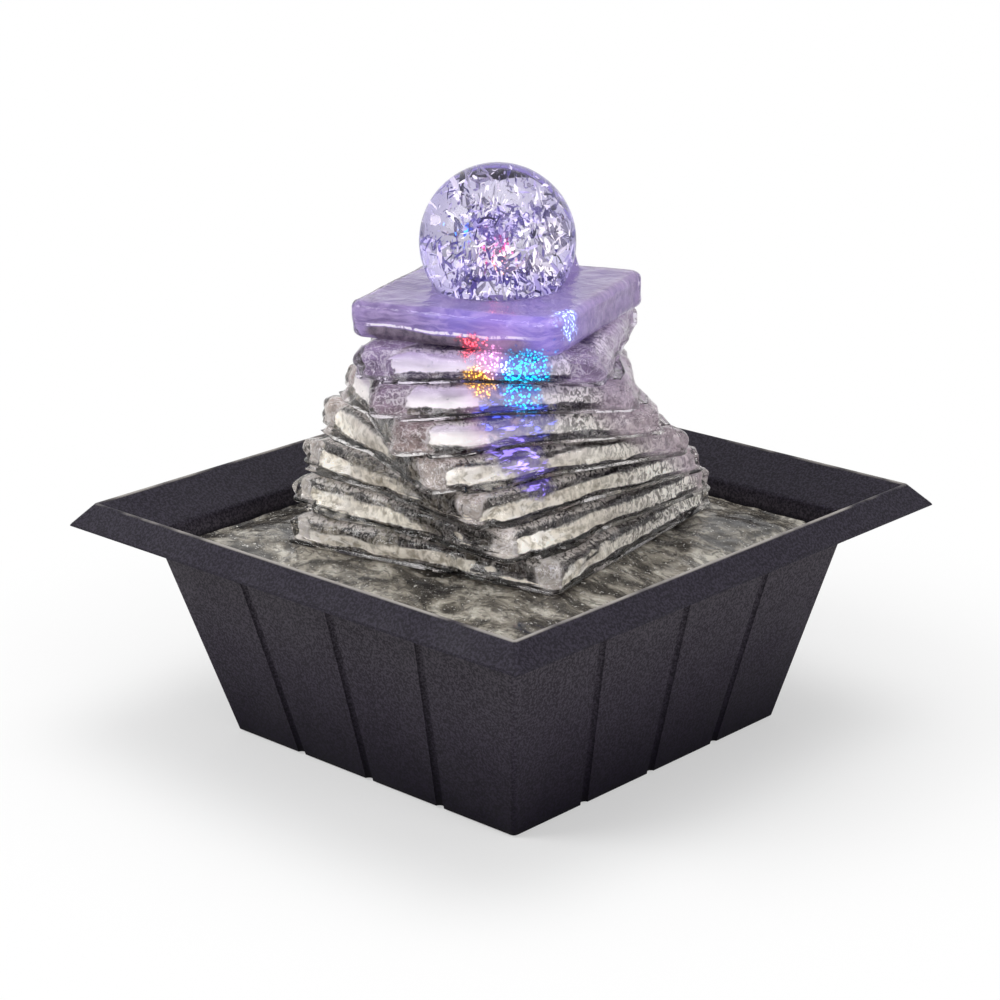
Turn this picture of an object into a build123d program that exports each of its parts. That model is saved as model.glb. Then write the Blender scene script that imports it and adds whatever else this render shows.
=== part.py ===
from build123d import *
from math import atan, cos, radians, sin, sqrt
import os

# Tabletop water fountain: a square tapered basin with a folded rim, a pump and a light ring inside it,
# and a lift-off stack of clear resin slabs that carries a ball turning on a film of water.
# Millimetres. The origin is the centre of the surface that the feet stand on, and +Z is up.

# Basin
RIM_HALF = 100.0        # centre to the outer tip of the rim
RIM_TIP_Z = 73.9        # height of that tip above the basin's underside
RIM_RUN = 6.1           # from the rim's crest out to its tip, measured level
RIDGE_HALF = RIM_HALF - RIM_RUN
RIDGE_Z = 80.9          # before its crest is rounded
NECK_HALF = 81.4        # outside of the wall at the height where the rim leaves it
NECK_Z = 71.4
FOOT_HALF = 63.7        # outside of the wall at the underside
WALL = 2.4              # wall thickness, measured level
FLOOR = 3.0
RIM_WALL = 2.6          # rim thickness, measured upright
TIP_LAND = 0.9          # upright edge of the tip
CORNER_FILLET = 1.6     # wall corners
RIDGE_R = 1.0           # crest of the rim
NECK_R = 2.5            # where the rim's inner slope turns down into the well
SUMP_R = 2.5            # foot of the wall, inside
LIP_TRIM = 0.4          # depth of the flat on the rim's outer corners
GROOVE_R = 1.7
GROOVE_PROUD = 0.4      # how far the groove's axis stands outside the wall
GROOVES_PER_SIDE = 3
POST = 12.0             # corner posts that carry the plate

# Feet and cable grommet
FOOT_R = 6.0
FOOT_RISE = 0.8         # how far a foot lifts the basin
FOOT_RECESS = 0.6
FOOT_INSET = 12.0       # foot axis to the outside of the basin
GROMMET_Z = 50.0        # above the basin's underside
GROMMET_NECK_R = 5.0
GROMMET_FLANGE_R = 7.0
GROMMET_FLANGE_T = 1.6
CABLE_R = 2.5

# Resin plate and slab stack
PLATE_T = 8.5
PLATE_Z = 62.1          # underside of the plate above the basin's underside
PLATE_GAP = 1.2         # drain gap between the plate's edge and the basin's wall
PLATE_CORNER_R = 12.0
PLATE_MARGIN = 20.0     # width of the sloping margin
PLATE_DROP = 3.5        # how far the margin falls
SLAB_COUNT = 7
SLAB_T = 9.75
SLAB_SIDE = 102.0       # side of the lowest slab
SLAB_STEP = 4.0         # each slab is this much narrower than the one below
SLAB_CORNER_R = 4.5
SLAB_EDGE_R = 1.8
SLAB_TURNS = (11.5, 0.0, -9.0, -21.5, -33.5, -44.5, -56.5)
CAP_SIDE = 72.5
CAP_TURN = -71.0
CAP_CORNER_R = 6.5
CAP_EDGE_R = 3.0
CORE_R = 17.0           # bore through the plate and the slabs
NUB_R = 4.0             # resin nub that keeps the ball from rolling off the cap
NUB_H = 9.5
NUB_DIRECTION = 85.0    # degrees from +X

# Ball
BALL_R = 25.0
BALL_SINK = 11.0        # how deep the ball sits below the top of the cap
SEAT_FLOOR = 0.7        # resin left under the ball
WATER_FILM = 0.3
JET_HOLE_R = 4.5
CRACK_PITCH = 9.0       # between the middles of neighbouring cracks in the ball
CRACK_CLEAR = 1.2       # glass between neighbouring cracks, and outside the outermost
CRACK_GAP = 0.4         # how far a crack gapes at its middle
CRACK_TURN = 137.5      # degrees from the tilt of one crack to the next

# Pump
CUP_H = 5.0             # suction cups
CUP_R = 6.5
CUP_LIP = 1.0
CUP_NECK_R = 3.0
CUP_STEM_R = 2.0
CUP_STEM_IN = 1.6
CUP_SPAN_X = 26.0
CUP_SPAN_Y = 22.0
PUMP_WALL = 2.5
PUMP_SIDE = 6.5         # housing beyond the chamber on each side
PUMP_CORNER_R = 4.0
CHAMBER_R = 13.5
CHAMBER_DEPTH = 12.0
WELL_R = 6.8
WELL_DEPTH = 20.0
WELL_WALL = 1.4
COIL_WRAP = 2.5
YOKE_T = 5.0
LEG_T = 6.2
CORE_DEPTH = 10.0
COIL_CLEAR = 0.8
SPIGOT_H = 12.0
COLLAR_STEP = 1.0       # collar beyond the tube that stands on it
COLLAR_H = 2.0
SHAFT_R = 1.0
BUSH_R = 2.6
BUSH_L = 2.4
SLEEVE_R = 2.6
MAGNET_GAP = 0.8        # magnet to well
END_PLAY = 0.4
HUB_R = 4.2
VANES = 6
VANE_T = 1.2
VANE_GAP = 2.2          # vane tip to chamber wall
COVER_T = 3.0
COVER_LIP = 1.5         # how far the cover's ring enters the chamber
LIP_T = 1.2
LIP_GAP = 0.4
WINDOWS = 3
WINDOW_ARC = 60.0
WINDOW_RIB = 1.3        # ring of cover left inside and outside a window
DIAL_R = 12.5
DIAL_T = 2.0
DIAL_GAP = 0.2
PIVOT_R = 3.0
PIVOT_HEAD_R = 4.4
PIVOT_HEAD_T = 1.0
TAB_W = 4.0
TAB_L = 4.0

# Riser, nozzle and light ring
TUBE_WALL = 1.5
TUBE_R = 5.5
JET_R = 2.6
NOZZLE_STEM = 12.0
NOZZLE_FLANGE_R = 7.5
NOZZLE_FLANGE_T = 2.0
WASHER_T = 1.0
LIGHT_CLEAR = 1.5       # light ring to the core's bore
LIGHT_BELOW = 6.0       # top of the light ring below the cap
LENS_H = 10.0
LENS_TOP = 2.0
TRAY_H = 6.0
TRAY_T = 2.0
TRAY_WALL = 1.1
BOARD_T = 1.2
LED_R = 2.0
LED_H = 4.4             # up to the dome
LED_ANGLES = {"blue_leds": (0, 180), "red_leds": (60, 240), "amber_leds": (120, 300)}
LEAD_R = 1.2
CLIP_T = 1.4
CLIP_H = 4.0
CLIP_COUNT = 2

# Clearances
FIT = 0.05              # pieces that are pushed together
RUNNING = 0.06          # shafts and pivots
CUT = 1.0               # how far a cutter runs past the face that it opens


# Heights and half widths that follow from the sizes above
base_z = FOOT_RISE
floor_z = base_z + FLOOR
plate_z = base_z + PLATE_Z
plate_top = plate_z + PLATE_T
cap_z = plate_top + SLAB_COUNT * SLAB_T
cap_top = cap_z + BALL_SINK + WATER_FILM + SEAT_FLOOR
ball_z = cap_top + BALL_R - BALL_SINK
wall_slope = (NECK_HALF - FOOT_HALF) / NECK_Z
wall_lean = atan(wall_slope)
tube_bore = TUBE_R - TUBE_WALL
shaft_bore = SHAFT_R + RUNNING
rim_fall = (RIDGE_Z - RIM_TIP_Z) / RIM_RUN
rim_rise = (RIDGE_Z - NECK_Z) / (RIDGE_HALF - NECK_HALF + WALL)
under_ridge = RIDGE_Z - RIM_WALL
under_neck = NECK_Z + rim_rise * WALL - RIM_WALL
standing = (Align.CENTER, Align.CENTER, Align.MIN)


def wall_half(z):
    """Outside half width of the basin's wall at a height above its underside."""
    return FOOT_HALF + wall_slope * z


plate_half = wall_half(PLATE_Z) - WALL - PLATE_GAP


def rod(radius, z0, z1, x=0.0, y=0.0):
    """Round bar along Z."""
    return Pos(x, y, z0) * Cylinder(radius, z1 - z0, align=standing)


def ring(outer, inner, z0, z1, x=0.0, y=0.0):
    """Round bar along Z with a bore."""
    return rod(outer, z0, z1, x, y) - rod(inner, z0 - CUT, z1 + CUT, x, y)


def block(x0, x1, y0, y1, z0, z1):
    """Rectangular block between two corners."""
    return Pos(x0, y0, z0) * Box(x1 - x0, y1 - y0, z1 - z0, align=(Align.MIN,) * 3)


def sector(outer, inner, arc, z0, z1):
    """Part of a flat ring, centred on +X."""
    reach = 2 * outer
    tip = (reach * cos(radians(arc / 2)), reach * sin(radians(arc / 2)))
    wedge = make_face(Polyline((0, 0), (tip[0], -tip[1]), tip, close=True))
    return ring(outer, inner, z0, z1) & (Pos(0, 0, z0) * extrude(wedge, z1 - z0))


def around(shape, count, start=0.0):
    """Copies of a shape turned about Z."""
    return [Rot(0, 0, start + 360 * k / count) * shape for k in range(count)]


# Basin: one side's section is run along that side, mitred at the corners, and turned four times
def basin_side():
    tip_under = RIM_TIP_Z - TIP_LAND
    section = [
        (0, 0),
        (FOOT_HALF, 0),
        (wall_half(under_neck), under_neck),
        (RIDGE_HALF, under_ridge),
        (RIDGE_HALF + (under_ridge - tip_under) / rim_fall, tip_under),
        (RIM_HALF, tip_under),
        (RIM_HALF, RIM_TIP_Z),
        (RIDGE_HALF, RIDGE_Z),
        (NECK_HALF - WALL, NECK_Z),
        (wall_half(FLOOR) - WALL, FLOOR),
        (0, FLOOR),
    ]
    face = make_face(Polyline(*section, close=True))
    for corner, radius in ((section[7], RIDGE_R), (section[8], NECK_R), (section[9], SUMP_R)):
        face = fillet(face.vertices().sort_by_distance((*corner, 0))[0], radius)
    reach = RIM_HALF + CUT
    run = extrude(Plane.XZ * face, reach, both=True)
    mitre = extrude(make_face(Polyline((0, 0), (reach, -reach), (reach, reach), close=True)), RIDGE_Z + CUT)
    return run & mitre


def groove(share):
    """Round-bottomed channel down the +X wall, at a share of the wall's half width from its middle."""
    top = under_neck
    low = Vector(wall_half(-CUT) + GROOVE_PROUD, share * wall_half(-CUT), -CUT)
    high = Vector(wall_half(top) + GROOVE_PROUD, share * wall_half(top), top)
    run = high - low
    return Plane(origin=low, z_dir=run) * Cylinder(GROOVE_R, run.length, align=standing)


def lip_trim():
    """Block that takes the sharp edge off the rim's outer corner between +X and +Y."""
    fall = RIDGE_Z - RIM_TIP_Z
    run = sqrt(2) * RIM_RUN
    edge = sqrt(fall ** 2 + run ** 2)
    outward = Vector(fall / sqrt(2), fall / sqrt(2), run).normalized()
    origin = Vector(RIDGE_HALF, RIDGE_HALF, RIDGE_Z) - outward * LIP_TRIM
    return Plane(origin=origin, z_dir=outward) * Box(4 * edge, 4 * edge, RIM_WALL, align=standing)


def corner_post():
    """Upright that fills the foot of a corner and carries a corner of the plate."""
    outer = plate_half - PLATE_CORNER_R * (1 - sqrt(0.5))
    upright = block(outer - POST, outer, outer - POST, outer, 0, PLATE_Z)
    low = Rectangle(2 * FOOT_HALF - WALL, 2 * FOOT_HALF - WALL).face()
    high = (Pos(0, 0, NECK_Z) * Rectangle(2 * NECK_HALF - WALL, 2 * NECK_HALF - WALL)).face()
    return upright & loft([low, high])


def grommet_plane():
    """Middle of the grommet on the outside of the rear wall, midway between two grooves, facing out."""
    pitch = 2 / (GROOVES_PER_SIDE + 1)
    half = wall_half(GROMMET_Z)
    outward = (0, cos(wall_lean), -sin(wall_lean))
    return Plane(origin=(half * pitch / 2, half, GROMMET_Z), x_dir=(1, 0, 0), z_dir=outward)


def is_wall_corner(edge):
    """Whether an edge runs up the outside of the wall where two sides meet."""
    middle = edge.center()
    half = wall_half(middle.Z)
    return abs(abs(middle.X) - half) < FIT and abs(abs(middle.Y) - half) < FIT and 0 < middle.Z < under_neck


def basin():
    tub = sum((Rot(0, 0, 90 * k) * basin_side() for k in range(1, 4)), basin_side()).clean()
    tub = fillet([edge for edge in tub.edges() if is_wall_corner(edge)], CORNER_FILLET)
    shares = [2 * (k + 1) / (GROOVES_PER_SIDE + 1) - 1 for k in range(GROOVES_PER_SIDE)]
    for share in shares:
        tub -= around(groove(share), 4)
    tub -= around(lip_trim(), 4)
    tub += around(corner_post(), 4)
    foot = FOOT_HALF - FOOT_INSET
    tub -= around(rod(FOOT_R + FIT, -CUT, FOOT_RECESS, foot, foot), 4)
    tub -= grommet_plane() * rod(GROMMET_NECK_R + FIT, -WALL - CUT, CUT)
    return Pos(0, 0, base_z) * tub


def rubber_feet():
    foot = FOOT_HALF - FOOT_INSET
    return Compound(around(rod(FOOT_R, 0, FOOT_RISE + FOOT_RECESS, foot, foot), 4))


def cable_grommet():
    inner_face = -WALL * cos(wall_lean)
    body = rod(GROMMET_NECK_R, inner_face, 0)
    body += rod(GROMMET_FLANGE_R, 0, GROMMET_FLANGE_T)
    body += rod(GROMMET_FLANGE_R, inner_face - GROMMET_FLANGE_T, inner_face)
    body -= rod(CABLE_R, inner_face - GROMMET_FLANGE_T - CUT, GROMMET_FLANGE_T + CUT)
    return Pos(0, 0, base_z) * (grommet_plane() * body)


# Resin plate, slabs and cap
def ice_plate():
    edge_top = plate_top - PLATE_DROP
    outline = RectangleRounded(2 * plate_half, 2 * plate_half, PLATE_CORNER_R)
    table_half = plate_half - PLATE_MARGIN
    table = RectangleRounded(2 * table_half, 2 * table_half, PLATE_CORNER_R)
    plate = Pos(0, 0, plate_z) * extrude(outline, edge_top - plate_z)
    low = (Pos(0, 0, edge_top) * outline).face()
    high = (Pos(0, 0, plate_top) * table).face()
    plate += loft([low, high], ruled=True)
    return plate - rod(CORE_R, plate_z - CUT, plate_top + CUT)


def slab_blank(side, thickness, corner_r, edge_r):
    """Square slab with rounded corners and softened upper and lower edges, standing on z = 0."""
    blank = extrude(RectangleRounded(side, side, corner_r), thickness)
    layers = blank.edges().group_by(Axis.Z)
    return fillet(layers[0] + layers[-1], edge_r)


def ice_slab(index):
    z0 = plate_top + index * SLAB_T
    blank = slab_blank(SLAB_SIDE - index * SLAB_STEP, SLAB_T, SLAB_CORNER_R, SLAB_EDGE_R)
    return Pos(0, 0, z0) * (Rot(0, 0, SLAB_TURNS[index]) * blank - rod(CORE_R, -CUT, SLAB_T + CUT))


def ice_cap():
    blank = slab_blank(CAP_SIDE, cap_top - cap_z, CAP_CORNER_R, CAP_EDGE_R)
    cap = Pos(0, 0, cap_z) * (Rot(0, 0, CAP_TURN) * blank)
    nub_reach = BALL_R + NUB_R + WATER_FILM + FIT
    nub = rod(NUB_R, cap_z + CAP_EDGE_R, cap_top + NUB_H, nub_reach)
    nub = fillet(nub.edges().group_by(Axis.Z)[-1], NUB_R / 2)
    cap += Rot(0, 0, NUB_DIRECTION) * nub
    cap -= Pos(0, 0, ball_z) * Sphere(BALL_R + WATER_FILM)
    return cap - rod(JET_HOLE_R, cap_z - CUT, cap_top)


# Ball: its cracks are thin lens-shaped gaps on an even lattice, each tilted another way
def crack(radius):
    """Gap of one crack, between two shallow spheres."""
    bend = (radius ** 2 + CRACK_GAP ** 2 / 4) / CRACK_GAP
    shift = bend - CRACK_GAP / 2
    return (Pos(0, 0, shift) * Sphere(bend)) & (Pos(0, 0, -shift) * Sphere(bend))


def crackle_ball():
    radius = (CRACK_PITCH - CRACK_CLEAR) / 2
    reach = BALL_R - CRACK_CLEAR - radius
    step = CRACK_PITCH / sqrt(2)
    count = int(reach / step)
    span = range(-count, count + 1)
    places = [Vector(i, j, k) * step for i in span for j in span for k in span if (i + j + k) % 2 == 0]
    places = [place for place in places if place.length < reach]
    tilts = [Rot(CRACK_TURN * n, CRACK_TURN * n / 2, 0) for n in range(len(places))]
    gaps = [Pos(*place) * tilt * crack(radius) for place, tilt in zip(places, tilts)]
    return Pos(0, 0, ball_z) * (Sphere(BALL_R) - gaps)


# Pump: modelled on its rotor axis with Z towards the intake, then laid down so that the intake faces -Y
coil_h = YOKE_T + 2 * COIL_WRAP
tube_out = WELL_R + WELL_WALL
pump_below = max(tube_out + COIL_CLEAR + coil_h + FIT + PUMP_WALL, CHAMBER_R + PUMP_WALL)
pump_above = CHAMBER_R + PUMP_WALL
pump_half = CHAMBER_R + PUMP_SIDE
rotor_z = floor_z + CUP_H + pump_below
pump_top = rotor_z + pump_above
face_z = CHAMBER_DEPTH / 2
well_front = -CHAMBER_DEPTH / 2
well_end = well_front - WELL_DEPTH
bush_end = well_end - BUSH_L
tube_end = bush_end - WELL_WALL
bay_front = well_front - PUMP_WALL
back_plate_front = tube_end - COIL_CLEAR
pump_back = back_plate_front - PUMP_WALL
bay_half = pump_half - PUMP_WALL
core_front = bay_front - COIL_WRAP - COIL_CLEAR
core_back = core_front - CORE_DEPTH
yoke_top = -tube_out - COIL_CLEAR - COIL_WRAP
yoke_low = yoke_top - YOKE_T
hub_back = well_front - END_PLAY
hub_front = face_z - COVER_LIP - END_PLAY
dial_back = face_z + COVER_T + DIAL_GAP
pivot_head = dial_back + DIAL_T + DIAL_GAP
window_in = HUB_R + WINDOW_RIB
window_out = CHAMBER_R - LIP_GAP - LIP_T - WINDOW_RIB
laid = Pos(0, 0, rotor_z) * Rot(90, 0, 0)


def pump_box(z0, z1, shrink=0.0):
    """Block with the housing's outline, between two depths along the rotor axis."""
    body = block(-pump_half + shrink, pump_half - shrink, -pump_below + shrink, pump_above - shrink, z0, z1)
    return fillet(body.edges().filter_by(Axis.Z), PUMP_CORNER_R - shrink)


def cup_places():
    middle = -(pump_back + face_z) / 2
    return [(sx * CUP_SPAN_X / 2, middle + sy * CUP_SPAN_Y / 2) for sx in (-1, 1) for sy in (-1, 1)]


def pump_housing():
    body = pump_box(pump_back, face_z)
    bay = pump_box(pump_back - CUT, bay_front, PUMP_WALL) - rod(tube_out, tube_end, bay_front)
    body -= bay
    body -= rod(CHAMBER_R, well_front, face_z + CUT)
    body -= rod(WELL_R, well_end, face_z)
    body -= rod(BUSH_R + FIT, bush_end, face_z)
    body = laid * body
    body += rod(TUBE_R + COLLAR_STEP, pump_top, pump_top + COLLAR_H)
    body += rod(tube_bore - FIT, pump_top, pump_top + COLLAR_H + SPIGOT_H)
    body -= rod(JET_R, rotor_z + CHAMBER_R / 2, pump_top + COLLAR_H + SPIGOT_H + CUT)
    housing_low = rotor_z - pump_below
    for x, y in cup_places():
        body -= rod(CUP_STEM_R + FIT, housing_low - CUT, housing_low + CUP_STEM_IN, x, y)
    return body


def pump_back_plate():
    return laid * pump_box(pump_back, back_plate_front, PUMP_WALL + FIT)


def stator_core():
    reach = tube_out + 2 * FIT + LEG_T
    core = block(-reach, reach, yoke_low, tube_out, core_back, core_front)
    inner = reach - LEG_T
    gap = block(-inner, inner, yoke_top, tube_out + CUT, core_back - CUT, core_front + CUT)
    return laid * (core - gap)


def pump_coil():
    half = tube_out - COIL_CLEAR
    low = yoke_low - COIL_WRAP
    wrap = block(-half, half, low, low + coil_h, core_back - COIL_WRAP, core_front + COIL_WRAP)
    hole = block(-half - CUT, half + CUT, yoke_low - FIT, yoke_top + FIT, core_back - FIT, core_front + FIT)
    return laid * (wrap - hole)


def pump_shaft():
    return laid * rod(SHAFT_R, bush_end + FIT, face_z + COVER_T - FIT - WINDOW_RIB)


def rear_shaft_bush():
    return laid * ring(BUSH_R, SHAFT_R + FIT, bush_end, well_end + FIT)


def front_shaft_bush():
    return laid * ring(BUSH_R, shaft_bore, face_z - COVER_LIP, face_z + COVER_T - WINDOW_RIB)


def rotor_magnet():
    return laid * ring(WELL_R - MAGNET_GAP, SLEEVE_R + FIT, well_end + END_PLAY, hub_back)


def impeller():
    wheel = rod(SLEEVE_R, well_end + END_PLAY, hub_back) + rod(HUB_R, hub_back, hub_front)
    wheel += rod(CHAMBER_R - VANE_GAP, well_front + END_PLAY, well_front + END_PLAY + VANE_T)
    vane = block(0, CHAMBER_R - VANE_GAP, -VANE_T / 2, VANE_T / 2, well_front + END_PLAY, hub_front)
    wheel += around(vane, VANES)
    return laid * (wheel - rod(shaft_bore, well_end - CUT, face_z + CUT))


def windows(z0, z1):
    return around(sector(window_out, window_in, WINDOW_ARC, z0, z1), WINDOWS, 90.0)


def intake_cover():
    cover = pump_box(face_z, face_z + COVER_T)
    lip_out = CHAMBER_R - LIP_GAP
    cover += ring(lip_out, lip_out - LIP_T, face_z - COVER_LIP, face_z)
    cover += rod(HUB_R, face_z - COVER_LIP, face_z)
    cover -= windows(face_z - CUT, face_z + COVER_T + CUT)
    cover -= rod(BUSH_R + FIT, face_z - COVER_LIP - CUT, face_z + COVER_T - WINDOW_RIB)
    cover += rod(PIVOT_R, face_z + COVER_T, pivot_head)
    cover += rod(PIVOT_HEAD_R, pivot_head, pivot_head + PIVOT_HEAD_T)
    return laid * cover


def flow_dial():
    dial = rod(DIAL_R, dial_back, dial_back + DIAL_T)
    dial += block(0, DIAL_R + TAB_L, -TAB_W / 2, TAB_W / 2, dial_back, dial_back + DIAL_T)
    dial -= windows(dial_back - CUT, dial_back + DIAL_T + CUT)
    return laid * (dial - rod(PIVOT_R + RUNNING, dial_back - CUT, dial_back + DIAL_T + CUT))


def suction_cups():
    low = floor_z + CUP_LIP
    top = floor_z + CUP_H
    cups = []
    for x, y in cup_places():
        cup = Pos(x, y, low) * Cone(CUP_R, CUP_NECK_R, top - low, align=standing)
        cup += rod(CUP_R, floor_z, low, x, y) + rod(CUP_STEM_R, top, top + CUP_STEM_IN - FIT, x, y)
        hollow = Cone(CUP_R - CUP_LIP, CUP_STEM_R, CUP_H / 2, align=standing)
        cups.append(cup - Pos(x, y, floor_z) * hollow)
    return Compound(cups)


# Riser, nozzle and light ring, all on the stack's axis
washer_z = cap_z - WASHER_T
flange_z = washer_z - NOZZLE_FLANGE_T
tube_low = pump_top + COLLAR_H
light_in = TUBE_R + FIT
light_out = CORE_R - LIGHT_CLEAR
lens_top = cap_z - LIGHT_BELOW
lens_low = lens_top - LENS_H
tray_low = lens_low - TRAY_H
board_z = tray_low + TRAY_T
led_circle = (light_in + light_out) / 2
lead_y = TUBE_R + CLIP_T + LEAD_R + FIT


def riser_tube():
    return ring(TUBE_R, tube_bore, tube_low, flange_z)


def jet_nozzle():
    nozzle = rod(tube_bore - FIT, flange_z - NOZZLE_STEM, flange_z)
    nozzle += rod(NOZZLE_FLANGE_R, flange_z, washer_z)
    return nozzle - rod(JET_R, flange_z - NOZZLE_STEM - CUT, washer_z + CUT)


def nozzle_washer():
    return ring(NOZZLE_FLANGE_R, JET_HOLE_R, washer_z, cap_z)


def light_tray():
    tray = ring(light_out, light_in, tray_low, lens_low)
    return tray - ring(light_out - TRAY_WALL, light_in + TRAY_WALL, board_z, lens_low + CUT)


def light_board():
    return ring(light_out - TRAY_WALL - FIT, light_in + TRAY_WALL + FIT, board_z, board_z + BOARD_T)


def light_lens():
    lens = ring(light_out, light_in, lens_low, lens_top)
    return lens - ring(light_out - TRAY_WALL, light_in + TRAY_WALL, lens_low - CUT, lens_top - LENS_TOP)


def leds(angles):
    foot = board_z + BOARD_T
    led = rod(LED_R, foot, foot + LED_H, led_circle) + Pos(led_circle, 0, foot + LED_H) * Sphere(LED_R)
    return Compound([Rot(0, 0, angle) * led for angle in angles])


def led_lead():
    return rod(LEAD_R, pump_top, tray_low, 0, lead_y)


def lead_clips():
    span = (tray_low - tube_low) / (CLIP_COUNT + 1)
    clips = []
    for k in range(CLIP_COUNT):
        z0 = tube_low + (k + 1) * span
        clip = rod(TUBE_R + CLIP_T, z0, z0 + CLIP_H) + rod(LEAD_R + CLIP_T, z0, z0 + CLIP_H, 0, lead_y)
        clip -= rod(TUBE_R + FIT, z0 - CUT, z0 + CLIP_H + CUT)
        clips.append(clip - rod(LEAD_R + FIT, z0 - CUT, z0 + CLIP_H + CUT, 0, lead_y))
    return Compound(clips)


nodes = {
    "basin": basin(),
    "rubber_feet": rubber_feet(),
    "cable_grommet": cable_grommet(),
    "ice_plate": ice_plate(),
    "ice_cap": ice_cap(),
    "crackle_ball": crackle_ball(),
    "pump_housing": pump_housing(),
    "pump_back_plate": pump_back_plate(),
    "stator_core": stator_core(),
    "pump_coil": pump_coil(),
    "pump_shaft": pump_shaft(),
    "rear_shaft_bush": rear_shaft_bush(),
    "front_shaft_bush": front_shaft_bush(),
    "rotor_magnet": rotor_magnet(),
    "impeller": impeller(),
    "intake_cover": intake_cover(),
    "flow_dial": flow_dial(),
    "suction_cups": suction_cups(),
    "riser_tube": riser_tube(),
    "jet_nozzle": jet_nozzle(),
    "nozzle_washer": nozzle_washer(),
    "light_tray": light_tray(),
    "light_board": light_board(),
    "light_lens": light_lens(),
    "led_lead": led_lead(),
    "lead_clips": lead_clips(),
}
for slab in range(SLAB_COUNT):
    nodes[f"ice_slab_{slab + 1}"] = ice_slab(slab)
for colour, angles in LED_ANGLES.items():
    nodes[colour] = leds(angles)

os.makedirs("parts", exist_ok=True)
for name, shape in nodes.items():
    export_step(shape, f"parts/{name}.step")
print(f"{len(nodes)} nodes, {2 * RIM_HALF:.0f} mm wide, {ball_z + BALL_R:.1f} mm high")
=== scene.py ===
# %% [markdown]
# # A tabletop water fountain
# A dark plastic basin carries a twisting stack of clear resin slabs, cast to look like melting ice, and a
# crackled ball turns on top in a film of water. The solids that were engineered for it come in first and
# stay where they are. What a mould gives exactly, such as the basin and the pump, keeps its solid and gets
# a finish. What melts, ripples or cracks is made again here.

# %% The engineered frame
from functools import partial
from math import cos, pi, radians, sin

import bpy
import numpy as np
from mathutils import Matrix, Vector


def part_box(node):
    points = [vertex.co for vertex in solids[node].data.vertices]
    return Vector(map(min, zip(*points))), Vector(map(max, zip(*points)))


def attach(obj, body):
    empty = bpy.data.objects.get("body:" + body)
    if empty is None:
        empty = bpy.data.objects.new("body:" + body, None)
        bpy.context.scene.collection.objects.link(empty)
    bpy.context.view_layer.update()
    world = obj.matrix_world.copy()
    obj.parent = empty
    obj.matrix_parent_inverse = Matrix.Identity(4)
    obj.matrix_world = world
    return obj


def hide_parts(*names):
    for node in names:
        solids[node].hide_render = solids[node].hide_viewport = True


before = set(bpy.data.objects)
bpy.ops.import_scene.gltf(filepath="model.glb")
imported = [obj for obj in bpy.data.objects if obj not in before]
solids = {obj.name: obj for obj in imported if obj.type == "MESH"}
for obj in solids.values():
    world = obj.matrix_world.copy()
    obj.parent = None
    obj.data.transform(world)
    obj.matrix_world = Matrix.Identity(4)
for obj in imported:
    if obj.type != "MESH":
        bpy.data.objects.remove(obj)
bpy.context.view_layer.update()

scene = bpy.context.scene
scene.view_settings.view_transform = "Standard"
MM = 0.001

# %% [markdown]
# ## Small helpers for node trees
# Every finish and every melted shape below is a tree of nodes. Writing each node out takes many lines, so a
# few helpers add one, wire it, and do the sums that come back again and again.


# %% Node helpers
def feed(socket, value):
    """Wire a socket to another node's output, or set its constant."""
    if isinstance(value, bpy.types.NodeSocket):
        socket.id_data.links.new(value, socket)
    else:
        socket.default_value = value


def add(tree, kind, inputs=None, **options):
    """New node with its options set and its inputs wired or set, by name or by number."""
    node = tree.nodes.new(kind)
    for key, option in options.items():
        setattr(node, key, option)
    for key, value in (inputs or {}).items():
        feed(node.inputs[key], value)
    return node


def wire(kind, inputs, **options):
    """New node in the tree that its wired inputs come from."""
    tree = next(v.id_data for v in inputs.values() if isinstance(v, bpy.types.NodeSocket))
    return add(tree, kind, inputs, **options)


def calc(operation, first, *others):
    """One sum, or with more than two values the same sum taken in turn."""
    for value in others or (0.0,):
        first = wire("ShaderNodeMath", {0: first, 1: value}, operation=operation).outputs[0]
    return first


times, plus, minus, most = (partial(calc, sum_of) for sum_of in ("MULTIPLY", "ADD", "SUBTRACT", "MAXIMUM"))


def axis(vector, name):
    """One of the three numbers of a vector."""
    return wire("ShaderNodeSeparateXYZ", {0: vector}).outputs[name]


def measure(operation, a, b=(0, 0, 0)):
    """A number from vectors: LENGTH, DISTANCE or DOT_PRODUCT."""
    return wire("ShaderNodeVectorMath", {0: a, 1: b}, operation=operation).outputs["Value"]


def move(operation, a, b=(0, 0, 0)):
    """A vector from vectors, or from a vector and a number for SCALE."""
    second = "Scale" if operation == "SCALE" else 1
    return wire("ShaderNodeVectorMath", {0: a, second: b}, operation=operation).outputs[0]


def span(value, low, high, start=0.0, end=1.0):
    """Eased step: start below low, end above high."""
    inputs = {"Value": value, "From Min": low, "From Max": high, "To Min": start, "To Max": end}
    return wire("ShaderNodeMapRange", inputs, interpolation_type="SMOOTHSTEP").outputs[0]


def mix(factor, a, b, blend="MIX"):
    return wire("ShaderNodeMix", {0: factor, 6: a, 7: b}, data_type="RGBA", blend_type=blend).outputs[2]


def noise(place, size, detail=3.0, rough=0.5, warp=0.0, stretch=(1, 1, 1)):
    """Cloudy pattern whose blotches are about one size across."""
    scaled = wire("ShaderNodeMapping", {"Vector": place, "Scale": stretch}).outputs[0]
    inputs = {"Vector": scaled, "Scale": 1 / size, "Detail": detail, "Roughness": rough, "Distortion": warp}
    return wire("ShaderNodeTexNoise", inputs).outputs[0]


def centred(value, scale=1.0):
    """Noise about zero."""
    return times(minus(value, 0.5), scale)


def cells(place, size, output="Distance"):
    """Cell pattern: distance to the cell's middle, or one random colour a cell."""
    return wire("ShaderNodeTexVoronoi", {"Vector": place, "Scale": 1 / size}).outputs[output]


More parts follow.
